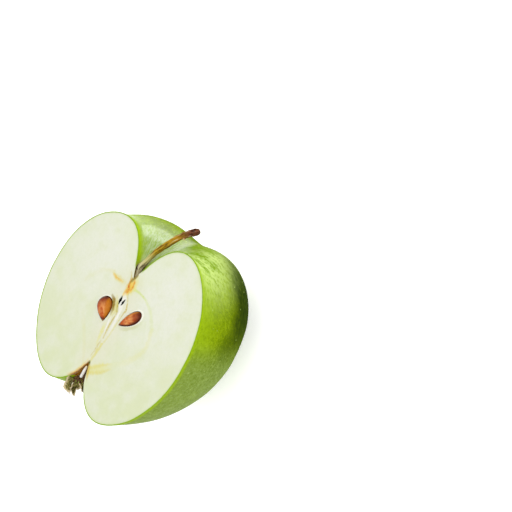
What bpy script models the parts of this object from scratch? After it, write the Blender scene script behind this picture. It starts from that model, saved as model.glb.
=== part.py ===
"""Half a green apple, cut lengthwise through the core, lying on its round back with the cut face up.

Metres, +Z up. The core runs along X with the stem end at +X, and the lobe at -Y is the front one.
The origin is the middle of the flat spot that the half rests on, and the cut face is level.
"""

import math

import bmesh
import bpy
import numpy as np
from mathutils import Vector
from mathutils.geometry import interpolate_bezier

MM = 0.001

# Widest level of the apple, out from the core
FRONT_RADIUS = 36.5 * MM
BACK_DEPTH = 43.0 * MM
REAR_RADIUS = 36.0 * MM
BACK_SHIFT = 5.5 * MM  # the back is widest this far towards the stem end

# Reach of each end along the core, on the front lobe, the back and the rear lobe
STEM_SHOULDERS = (33.5 * MM, 33.5 * MM, 32.0 * MM)
CALYX_SHOULDERS = (36.0 * MM, 31.0 * MM, 35.0 * MM)
STEM_FULLNESS = 2.25  # 2 is an ellipse, and more is squarer
CALYX_FULLNESS = 1.95
SHOULDER_START = 9.0 * MM  # nearer the core than this, the shoulders run together

# The five low lobes round each end
CROWN_LOBES, STEM_CROWN, STEM_CROWN_TURN = 5, 1.4 * MM, 1.0
CALYX_CROWN, CALYX_CROWN_TURN = 0.8 * MM, 1.8
CROWN_PLACE, CROWN_BREADTH = 0.62, 0.35  # as shares of the widest level

# Low swellings: angle round the core, and height in millimetres, at each end and at the waist
STEM_SWELLS = ((0.8, 0.4), (2.3, -0.3), (2.75, 1.7))
CALYX_SWELLS = ((0.8, -0.7), (1.8, 0.2), (2.3, 1.2), (2.75, 2.6))
WAIST_SWELLS = ((0.35, -0.3), (0.8, -0.4), (1.3, -1.0), (1.8, -0.2))
SWELL_BREADTH = 0.3

# The hollow round the stem and the basin round the calyx
WELL_DEPTH, WELL_BREADTH = 20.0 * MM, 7.0 * MM
WELL_ROUNDING = 0.6 * MM
BASIN_DEPTH, BASIN_BREADTH = 12.0 * MM, 10.0 * MM
BASIN_POWER = 1.5

# Where the half lies
FLAT_TRIM = 1.8 * MM  # the rest spot is this much flatter than the round back
CUT_HEIGHT = BACK_DEPTH - FLAT_TRIM
CORE = Vector((-BACK_SHIFT, 0, CUT_HEIGHT))  # middle of the core, in the cut plane
BODY_LATITUDES, BODY_ANGLES = 60, 48

GAP = 0.3 * MM  # left between touching pieces
SHARP_ANGLE = math.radians(40)

# Stem: knots of its middle line from the core, and its radius at each knot
STEM_KNOTS = [
    Vector(knot) * MM
    for knot in (
        (12.9, 0.3, -1.0),
        (14.6, 0.3, -1.0),
        (16.7, 0.6, -1.05),
        (19.2, -0.1, -1.3),
        (23.2, -1.4, -1.6),
        (27.6, -3.9, -2.0),
        (32.0, -7.1, -2.4),
        (35.9, -11.4, -2.7),
    )
]
STEM_RADII = [radius * MM for radius in (0.7, 0.85, 1.3, 0.82, 0.85, 0.95, 0.95, 1.1)]
STEM_SIDES = 12
STEM_STEPS = 6  # rings between two knots

# Seeds: middle from the core, direction of the point, and length, width and thickness
SEEDS = {
    "seed_rear": ((-1.1, 5.0, -0.3), (-0.87, -0.49, 0.0), (7.8, 7.6, 3.7)),
    "seed_front": ((1.7, -7.4, -0.3), (-0.74, 0.67, 0.08), (9.9, 4.9, 3.6)),
}
SEED_SEGMENTS, SEED_RINGS = 16, 12
SEED_POINT = 0.8  # 0 is an egg, and more is a finer point
POCKET_ROOM = 0.35 * MM  # between a seed and the wall of its pocket

# Calyx tube: an open cone that runs from the basin up towards the seeds
TUBE_TIP = Vector((-17.9, -0.7, 0.0)) * MM
TUBE_MOUTH = Vector((-27.0, -0.2, 0.0)) * MM
TUBE_TIP_RADIUS, TUBE_MOUTH_RADIUS = 0.4 * MM, 4.0 * MM
TUBE_SIDES = 20

# Style: the pale rod in the tube
STYLE_KNOTS = [
    Vector(knot) * MM for knot in ((-19.4, -0.5, -0.1), (-21.0, -0.6, -0.2), (-22.8, -0.5, -0.2))
]
STYLE_RADII = [radius * MM for radius in (0.3, 0.5, 0.45)]
STYLE_SIDES, STYLE_STEPS = 8, 3

# Stamens: bristles in a half ring on one small root
ROOT_MIDDLE = Vector((-22.9, -0.2, -1.4)) * MM
ROOT_SIZE = Vector((2.2, 2.6, 0.8)) * MM
ROOT_SEGMENTS, ROOT_RINGS = 14, 8
BRISTLE_COUNT, BRISTLE_SIDES, BRISTLE_STEPS = 7, 6, 3
BRISTLE_LENGTH, BRISTLE_UNEVENNESS, BRISTLE_WAVES = 3.4 * MM, 0.15, 3
BRISTLE_SPREAD = 0.7 * MM
FOOT_SPREAD, MIDDLE_SPREAD = 0.7, 1.1  # how far aside, as shares of the spread at the end
BRISTLE_FLATNESS = 0.4  # the half ring's depth as a share of its width
BRISTLE_RADII = [radius * MM for radius in (0.32, 0.28, 0.36)]

# Sepals: root, elbow and tip from the core, then the way across the leaf, and its width
SEPALS = {
    "sepal_front": ((-25.2, -2.3, -0.9), (-26.8, -3.4, -1.6), (-27.2, -2.4, -1.6), (0.0, 0.4, -1.0), 2.2),
    "sepal_back": ((-26.6, 0.8, -2.6), (-28.2, 2.0, -3.4), (-30.0, -0.4, -1.8), (0.5, -0.6, -0.6), 2.6),
    "sepal_rear": ((-25.6, 2.3, -1.2), (-28.8, 4.2, -2.0), (-29.5, 1.6, -1.6), (0.0, 0.3, 1.0), 2.4),
}
SEPAL_THICKNESS, SEPAL_CUP = 0.5 * MM, 0.35 * MM
EDGE_WAVE, EDGE_WAVES = 0.25, 7  # how much and how fast the width changes along a leaf
CUP_WAVE, CUP_WAVES, CUP_TWIST = 0.3, 9, 2  # how the cup changes along and across a leaf
SEPAL_STEPS, SEPAL_COLUMNS = 10, 5


def principled(name, colour, roughness):
    """A plain material with the piece's own colour."""
    material = bpy.data.materials.new(name)
    material.use_nodes = True
    shader = material.node_tree.nodes["Principled BSDF"]
    shader.inputs["Base Color"].default_value = (*colour, 1)
    shader.inputs["Roughness"].default_value = roughness
    shader.inputs["Metallic"].default_value = 0
    return material


def add_piece(name, form, *materials):
    """An object made from a bmesh, its faces turned outwards and shaded smooth."""
    form.normal_update()
    bmesh.ops.recalc_face_normals(form, faces=form.faces)
    mesh = bpy.data.meshes.new(name)
    form.to_mesh(mesh)
    form.free()
    for material in materials:
        mesh.materials.append(material)
    mesh.shade_smooth()
    mesh.set_sharp_from_angle(angle=SHARP_ANGLE)
    piece = bpy.data.objects.new(name, mesh)
    bpy.context.scene.collection.objects.link(piece)
    return piece


def cut_away(piece, cutter):
    """Takes the cutter's shape out of the piece, and keeps the cutter out of the render."""
    cutter.hide_render = True
    cutter.display_type = "WIRE"
    hollow = piece.modifiers.new("hollow_" + cutter.name, "BOOLEAN")
    hollow.operation = "DIFFERENCE"
    hollow.solver = "EXACT"
    hollow.material_mode = "TRANSFER"
    hollow.object = cutter


def blend(angle, sizes):
    """A size on the way from the front lobe, angle 0, over the back to the rear lobe, pi."""
    front, back, rear = sizes
    side = np.where(np.cos(angle) > 0, front, rear)
    return side * np.cos(angle) ** 2 + back * np.sin(angle) ** 2


def end_reach(angle, radius, sizes):
    """How far an end reaches along the core, before its hollow is taken off."""
    middle = (sizes[0] + sizes[2]) / 2
    apart = 1 - np.exp(-((radius / SHOULDER_START) ** 2))
    return middle + (blend(angle, sizes) - middle) * apart


def swell(angle, swells):
    """Height of the low swellings at an angle round the core."""
    return sum(height * np.exp(-(((angle - place) / SWELL_BREADTH) ** 2)) for place, height in swells) * MM


def skin_places(latitude, angle):
    """Places on the skin, from the core: latitude 0 is the stem's root and pi is the calyx."""
    stem_end = np.cos(latitude) >= 0
    power = 2 / np.where(stem_end, STEM_FULLNESS, CALYX_FULLNESS)
    share = np.abs(np.sin(latitude)) ** power
    radius = share * blend(angle, (FRONT_RADIUS, BACK_DEPTH, REAR_RADIUS))
    rise = np.abs(np.cos(latitude)) ** power
    crown = np.exp(-(((share - CROWN_PLACE) / CROWN_BREADTH) ** 2))
    stem_crown = STEM_CROWN * np.cos(CROWN_LOBES * angle + STEM_CROWN_TURN) + swell(angle, STEM_SWELLS)
    calyx_crown = CALYX_CROWN * np.cos(CROWN_LOBES * angle + CALYX_CROWN_TURN)
    calyx_crown = calyx_crown + swell(angle, CALYX_SWELLS)
    rounded = np.hypot(radius, WELL_ROUNDING) - WELL_ROUNDING
    well = WELL_DEPTH * np.exp(-rounded / WELL_BREADTH)
    basin = BASIN_DEPTH * np.exp(-((radius / BASIN_BREADTH) ** BASIN_POWER))
    to_stem = end_reach(angle, radius, STEM_SHOULDERS) * rise + stem_crown * crown - well
    to_calyx = end_reach(angle, radius, CALYX_SHOULDERS) * rise + calyx_crown * crown - basin
    shift = BACK_SHIFT * (np.sin(angle) * share) ** 2
    along = np.where(stem_end, to_stem, -to_calyx) + shift
    wide = radius + swell(angle, WAIST_SWELLS) * share**4
    return np.stack([along, -wide * np.cos(angle), -wide * np.sin(angle)], axis=-1)


def make_body(skin, flesh):
    """The fruit itself: rows of skin from the stem to the calyx, closed by the flat cut."""
    latitudes = np.linspace(0, math.pi, BODY_LATITUDES + 1)
    angles = np.linspace(0, math.pi, BODY_ANGLES + 1)
    places = skin_places(*np.meshgrid(latitudes, angles, indexing="ij")) + np.array(CORE)
    places[..., 2] = np.maximum(places[..., 2], 0)
    form = bmesh.new()
    stem_root, calyx_root = (form.verts.new(places[end, 0]) for end in (0, -1))
    rows = [[form.verts.new(place) for place in row] for row in places[1:-1]]
    for nearer, further in zip(rows, rows[1:]):
        for i in range(BODY_ANGLES):
            form.faces.new((nearer[i], nearer[i + 1], further[i + 1], further[i]))
    for root, row in ((stem_root, rows[0]), (calyx_root, rows[-1])):
        for i in range(BODY_ANGLES):
            form.faces.new((root, row[i], row[i + 1]))
    outline = [stem_root, *(row[0] for row in rows), calyx_root, *(row[-1] for row in rows[::-1])]
    form.faces.new(outline).material_index = 1
    return add_piece("apple_half", form, skin, flesh)


def curve_through(knots, radii, steps):
    """A smooth line through the knots, as (place, radius) pairs."""
    ends = [knots[0] * 2 - knots[1], *knots, knots[-1] * 2 - knots[-2]]
    line = []
    for i in range(1, len(knots)):
        before, start, stop, after = ends[i - 1 : i + 3]
        handles = start + (stop - before) / 6, stop - (after - start) / 6
        part = interpolate_bezier(start, *handles, stop, steps + 1)
        for step, place in enumerate(part[: steps + (i == len(knots) - 1)]):
            ease = (1 - math.cos(math.pi * step / steps)) / 2
            line.append((place, radii[i - 1] + (radii[i] - radii[i - 1]) * ease))
    return line


def tube(line, sides):
    """A closed round tube along (place, radius) pairs measured from the core."""
    form = bmesh.new()
    rings = []
    for i, (place, radius) in enumerate(line):
        ahead, behind = line[min(i + 1, len(line) - 1)][0], line[max(i - 1, 0)][0]
        turn = (ahead - behind).to_track_quat("Z", "Y")
        ring = []
        for side in range(sides):
            angle = 2 * math.pi * side / sides
            rim = Vector((math.cos(angle), math.sin(angle), 0)) * radius
            ring.append(form.verts.new(CORE + place + turn @ rim))
        rings.append(ring)
    for ring, following in zip(rings, rings[1:]):
        for side in range(sides):
            after = (side + 1) % sides
            form.faces.new((ring[side], ring[after], following[after], following[side]))
    form.faces.new(rings[0])
    form.faces.new(rings[-1])
    return form


def make_stem(body, bark, flesh):
    """The woody stem, its foot sunk in a bore of the flesh."""
    bore_radii = [radius + GAP for radius in STEM_RADII]
    bore_knots = [STEM_KNOTS[0] + (STEM_KNOTS[0] - STEM_KNOTS[1]).normalized() * GAP, *STEM_KNOTS[1:]]
    bore = tube(curve_through(bore_knots, bore_radii, STEM_STEPS), STEM_SIDES)
    cut_away(body, add_piece("stem_bore", bore, flesh))
    stem = tube(curve_through(STEM_KNOTS, STEM_RADII, STEM_STEPS), STEM_SIDES)
    return add_piece("stem", stem, bark)


def seed_form(middle, point, size, room=0.0):
    """A drop: a ball that narrows to a point, lying flat along the way its point faces."""
    form = bmesh.new()
    bmesh.ops.create_uvsphere(form, u_segments=SEED_SEGMENTS, v_segments=SEED_RINGS, radius=1)
    length, width, thickness = (side * MM / 2 + room for side in size)
    lie = Vector(point).to_track_quat("X", "Z")
    for vert in form.verts:
        slim = math.sin(math.acos(max(-1.0, min(1.0, vert.co.z))) / 2) ** SEED_POINT
        drop = Vector((vert.co.z * length, vert.co.y * width * slim, vert.co.x * thickness * slim))
        vert.co = CORE + Vector(middle) * MM + lie @ drop
    return form


def make_seeds(body, shell, flesh):
    """The seeds, each in a pocket that is open at the cut."""
    for name, (middle, point, size) in SEEDS.items():
        pocket = seed_form(middle, point, size, POCKET_ROOM)
        cut_away(body, add_piece(name + "_pocket", pocket, flesh))
        add_piece(name, seed_form(middle, point, size), shell)


def make_calyx_tube(body, lining):
    """The cone-shaped hollow that the calyx leaves in the flesh."""
    line = [(TUBE_TIP, TUBE_TIP_RADIUS), (TUBE_MOUTH, TUBE_MOUTH_RADIUS)]
    cut_away(body, add_piece("calyx_tube", tube(line, TUBE_SIDES), lining))


def make_style(pale):
    """The pale rod that runs up the calyx tube."""
    add_piece("style", tube(curve_through(STYLE_KNOTS, STYLE_RADII, STYLE_STEPS), STYLE_SIDES), pale)


def bristle(number):
    """One stamen: a thin stalk that spreads out of the root and ends in a small knob."""
    angle = math.pi * (number + 0.5) / BRISTLE_COUNT
    aside = Vector((0, -math.cos(angle), -math.sin(angle) * BRISTLE_FLATNESS))
    reach = BRISTLE_LENGTH * (1 + BRISTLE_UNEVENNESS * (math.cos(BRISTLE_WAVES * number) - 1))
    foot = ROOT_MIDDLE + aside * BRISTLE_SPREAD * FOOT_SPREAD
    middle = ROOT_MIDDLE + Vector((-reach / 2, 0, 0)) + aside * BRISTLE_SPREAD * MIDDLE_SPREAD
    end = foot + Vector((-reach, 0, 0)) + aside * BRISTLE_SPREAD
    return tube(curve_through([foot, middle, end], BRISTLE_RADII, BRISTLE_STEPS), BRISTLE_SIDES)


def make_stamens(brown):
    """The dried stamens, joined by a Boolean union into one tuft on a flat root."""
    root = bmesh.new()
    bmesh.ops.create_uvsphere(root, u_segments=ROOT_SEGMENTS, v_segments=ROOT_RINGS, radius=0.5)
    for vert in root.verts:
        vert.co = CORE + ROOT_MIDDLE + vert.co * ROOT_SIZE
    tuft = add_piece("stamens", root, brown)
    bristles = bpy.data.collections.new("bristles")
    bpy.context.scene.collection.children.link(bristles)
    for number in range(BRISTLE_COUNT):
        stalk = add_piece(f"bristle_{number}", bristle(number), brown)
        bpy.context.scene.collection.objects.unlink(stalk)
        bristles.objects.link(stalk)
    join = tuft.modifiers.new("join", "BOOLEAN")
    join.operation = "UNION"
    join.solver = "EXACT"
    join.operand_type = "COLLECTION"
    join.collection = bristles
    apply_modifiers(tuft)
    for stalk in list(bristles.objects):
        bpy.data.objects.remove(stalk)
    bpy.data.collections.remove(bristles)


def apply_modifiers(piece):
    """Gives the piece the mesh that its modifiers make."""
    graph = bpy.context.evaluated_depsgraph_get()
    made = bpy.data.meshes.new_from_object(piece.evaluated_get(graph))
    piece.modifiers.clear()
    piece.data = made


def sepal_form(root, elbow, tip, across, width):
    """A leaf of triangles, broad at its root, cupped along its middle and pointed at its tip."""
    form = bmesh.new()
    root, elbow, tip = (CORE + Vector(place) * MM for place in (root, elbow, tip))
    middle_line = interpolate_bezier(root, elbow, elbow, tip, SEPAL_STEPS + 1)
    rows = []
    for step, place in enumerate(middle_line[:-1]):
        share = step / SEPAL_STEPS
        along = (middle_line[step + 1] - place).normalized()
        sideways = (Vector(across) - along * along.dot(Vector(across))).normalized()
        outwards = along.cross(sideways)
        wave = 1 - EDGE_WAVE * math.cos(EDGE_WAVES * share)
        half_width = width * MM / 2 * math.sqrt(1 - share) * wave
        row = []
        for column in range(SEPAL_COLUMNS):
            aside = 2 * column / (SEPAL_COLUMNS - 1) - 1
            wave = CUP_WAVE * math.sin(CUP_WAVES * share + CUP_TWIST * aside)
            lift = SEPAL_CUP * (aside * aside + wave)
            row.append(form.verts.new(place + sideways * aside * half_width + outwards * lift))
        rows.append(row)
    for row, following in zip(rows, rows[1:]):
        for i in range(SEPAL_COLUMNS - 1):
            form.faces.new((row[i], row[i + 1], following[i + 1]))
            form.faces.new((row[i], following[i + 1], following[i]))
    point = form.verts.new(tip)
    for i in range(SEPAL_COLUMNS - 1):
        form.faces.new((rows[-1][i], rows[-1][i + 1], point))
    return form


def make_sepals(leaf):
    """The dried leaves round the mouth of the calyx tube, each a thin wavy solid."""
    for name, places in SEPALS.items():
        sepal = add_piece(name, sepal_form(*places), leaf)
        body = sepal.modifiers.new("thickness", "SOLIDIFY")
        body.thickness = SEPAL_THICKNESS
        body.offset = 0


def main():
    for old in list(bpy.data.objects):
        bpy.data.objects.remove(old)
    skin = principled("skin", (0.35, 0.54, 0.06), 0.25)
    flesh = principled("flesh", (0.81, 0.84, 0.62), 0.45)
    lining = principled("calyx_lining", (0.30, 0.14, 0.03), 0.6)
    bark = principled("bark", (0.38, 0.24, 0.05), 0.6)
    shell = principled("seed_shell", (0.38, 0.11, 0.02), 0.25)
    pale = principled("style", (0.79, 0.75, 0.58), 0.4)
    brown = principled("stamens", (0.12, 0.06, 0.02), 0.7)
    leaf = principled("sepals", (0.34, 0.33, 0.14), 0.7)
    body = make_body(skin, flesh)
    make_stem(body, bark, flesh)
    make_seeds(body, shell, flesh)
    make_calyx_tube(body, lining)
    make_style(pale)
    make_stamens(brown)
    make_sepals(leaf)


main()
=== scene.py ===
"""Looks of half a green apple on its round back: fine fruit, stem, seeds and dried calyx.

Places are in millimetres from the middle of the core, in the cut plane: the stem end is at +X,
the front lobe at -Y and up is +Z. to_row() carries them into the row's metres.
"""

import math

import bpy
import numpy as np
from mathutils import Matrix, Vector, noise
from mathutils.kdtree import KDTree


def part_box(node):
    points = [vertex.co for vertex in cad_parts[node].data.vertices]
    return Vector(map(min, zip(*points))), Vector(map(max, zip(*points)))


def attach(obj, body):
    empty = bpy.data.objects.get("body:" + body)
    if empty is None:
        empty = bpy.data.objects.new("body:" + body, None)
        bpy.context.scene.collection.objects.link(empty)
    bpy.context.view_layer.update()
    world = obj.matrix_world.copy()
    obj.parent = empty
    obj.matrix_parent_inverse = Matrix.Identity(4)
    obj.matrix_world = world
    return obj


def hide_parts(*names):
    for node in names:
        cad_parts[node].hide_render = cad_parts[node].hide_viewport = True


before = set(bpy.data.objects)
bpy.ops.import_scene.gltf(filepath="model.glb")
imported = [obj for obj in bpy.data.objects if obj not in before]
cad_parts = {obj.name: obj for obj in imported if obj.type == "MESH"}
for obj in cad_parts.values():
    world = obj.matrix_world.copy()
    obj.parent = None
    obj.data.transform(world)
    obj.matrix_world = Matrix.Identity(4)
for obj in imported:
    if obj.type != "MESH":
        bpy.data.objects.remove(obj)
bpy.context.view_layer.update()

BODY = "root"
MM = 0.001
SHARP_ANGLE = math.radians(40)
FULL_LIGHT = 1.62  # a level white face looks this much brighter than the screen's white

# The fruit's driving sizes, the same as the solids have
FRONT_RADIUS, BACK_DEPTH, REAR_RADIUS, BACK_SHIFT = 36.5, 43.0, 36.0, 5.5
STEM_SHOULDERS = (33.5, 33.5, 32.0)  # on the front lobe, the back and the rear lobe
CALYX_SHOULDERS = (36.0, 31.0, 35.0)
STEM_FULLNESS, CALYX_FULLNESS = 2.25, 1.95
SHOULDER_START = 9.0
CROWN_LOBES, CROWN_PLACE, CROWN_BREADTH = 5, 0.62, 0.35
STEM_CROWN, STEM_CROWN_TURN = 1.4, 1.0
CALYX_CROWN, CALYX_CROWN_TURN = 0.8, 1.8
WELL_DEPTH, WELL_BREADTH = 20.0, 7.0
BASIN_DEPTH, BASIN_BREADTH, BASIN_POWER = 12.0, 10.0, 1.5
CUT_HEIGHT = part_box("apple_half")[1].z / MM
CORE = np.array([-BACK_SHIFT, 0.0, CUT_HEIGHT])

# Low swellings: angle round the core, and height at the stem end, the calyx end and the waist
STEM_SWELLS = ((0.8, 0.4), (2.3, -0.3), (2.75, 1.7))
CALYX_SWELLS = ((0.8, -0.7), (1.8, 0.2), (2.3, 1.2), (2.75, 2.6))
WAIST_SWELLS = ((0.35, -0.3), (0.8, -0.4), (1.3, -1.0), (1.8, -0.2))
SWELL_BREADTH = 0.3

# Fine forms of the skin
WELL_ROUNDING = 0.6
TUBE_DEPTH, TUBE_BREADTH, TUBE_ASIDE, TUBE_REACH = 4.0, 1.5, -0.7, 4.0
LIP_DEPTH, LIP_BREADTH = 1.8, 4.5
UNEVENNESS = ((11.0, 0.14), (4.5, 0.06))  # size and height of the skin's unevenness
UNEVEN_START = 12.0
CREASES = (  # latitude and angle of the knots of the folds over the front shoulder
    ((0.17, 0.95), (0.21, 1.16), (0.25, 1.09), (0.30, 1.02), (0.38, 0.95)),
    ((0.24, 0.66), (0.30, 0.69), (0.38, 0.66), (0.50, 0.60)),
    ((0.30, 0.40), (0.40, 0.36), (0.52, 0.36)),
)
CREASE_DEPTH, CREASE_HALF = 0.28, 0.45
STROKE_STEPS = 30  # places between two knots of a line
CAP_STEPS, CAP_LEAN, CAP_BULGE = 6, 0.15, 0.35  # rounding of a tube's ends
GRAIN_LENGTH, GRAIN_RADIUS = 115.0, 30.0
GRAIN_EVEN = 0.4  # share of the grain's radius that is the same all along the skin
WELL_FLOOR = 12.8

# Looks of the skin: for each, the distance in millimetres where it starts and where it is full
# Painted shade: the skin darker towards its underside and the stem end, most on the front lobe
PAINTED_SHADE_DOWN, PAINTED_SHADE_ALONG, PAINTED_SHADE_FRONT = (10, 22), (-8, 20), (-2, 20)
PAINTED_SHADE_ELSEWHERE = 0.25  # share of the painted shade that is left away from the front
PAINTED_SHADE_WAVE, PAINTED_SHADE_WAVE_SIZE = 3.5, 9.0  # how far its edge wanders up and down
# Painted reflection: the flank paler and greyer low on the calyx half, away from the core
REFLECTION_ALONG, REFLECTION_OUT, REFLECTION_DOWN = (-12, 0), (12, 24), (0.3, 1.4)
# Pale flecks on the front shoulder: real streaks and a painted highlight both
SHOULDER_FROM_STEM, SHOULDER_FRONT = (-34, -23), (1, 16)
SHOULDER_WAVE, SHOULDER_WAVE_SIZE = 3.0, 7.0
WALL_FROM_STEM, WALL_DOWN = (-21, -15), (0.8, 3.5)
SHINE_FROM_STEM, SHINE_DOWN = (-25, -19), (0.3, 2.5)
FRONT_SHORTER, FRONT_START = 4.0, (0, 6)  # the hollow's looks end this much lower on the front side
WAX_BACK, WAX_ALONG, WAX_FROM_TUBE = (0, 20), (-10, 10), (3, 6)
WAX_FRONT_SHINE, WAX_BACK_SHINE, WAX_STEM_LOSS = 0.12, 0.3, 0.8
FOLD_SHADE_REACH = 1.7  # how far the painted shade reaches on each side of a crease
CALYX_HALF, FAR_AWAY = -12, 40.0  # places nearer the stem than the first are far from the calyx

# Looks of the cut face, in the same way
TUBE_ALONG, TUBE_SIDE = (15, 17), (-5.5, -4.0)
FOOT_ALONG, FOOT_SIDE = (-4.0, -2.0), (-3.0, -2.0)
HALO_SIDE, LOW_ALONG = (4.4, 6.4), (-22, 26)
CORE_ENDS = ((9, 0), (-17, -1))

# Mesh of the fruit
LATITUDES, ANGLES = 200, 136
ROW = ANGLES + 1  # places in a row across the skin
OUTLINE_STEPS, CORE_STEPS = 8, 300
RINGS, INNER_RINGS, INNER_SHARE = 165, 105, 0.42
FACE_MIDDLE = np.array([-4.0, 0.0])

# Seeds: middle, direction of the point, and length, width and thickness
SEEDS = {
    "seed_rear": ((-1.15, 5.15, -0.3), (-0.87, -0.49, 0.0), (7.8, 8.0, 3.7)),
    "seed_front": ((1.7, -7.4, -0.3), (-0.74, 0.67, 0.08), (9.9, 4.9, 3.6)),
}
SEED_POINT = 0.8
SEED_SIDES, SEED_RINGS = 72, 64

# Pockets: how much wider than its seed each one is, and how far aside it lies
POCKETS = {"seed_rear": (0.25, (0.1, -0.25)), "seed_front": (0.2, (0.0, 0.0))}
POCKET_DEPTH, POCKET_WALL, POCKET_BULGE = 2.1, 0.25, 0.06
POCKET_EDGE = 0.8  # the pocket's reach is measured with this share of its half width
SLITS = (  # knots of each slit in the cut plane, with half its width there
    ((5.8, 0.5, 0.14), (4.9, 0.5, 0.5), (4.1, 0.5, 0.5), (3.2, 0.35, 0.18)),
    ((5.5, -1.35, 0.14), (4.8, -1.2, 0.32), (4.2, -1.05, 0.42), (3.5, -0.9, 0.2)),
)
SLIT_DEPTH, SLIT_WALL = 1.8, 0.14
BAND_HEIGHT = 0.12  # of the pale bands over the cut face
FACE_GRAIN = 1.8, 0.03  # size and height of the cut face's unevenness
OFF = -9.0  # stands for far outside a pocket or a slit

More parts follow.
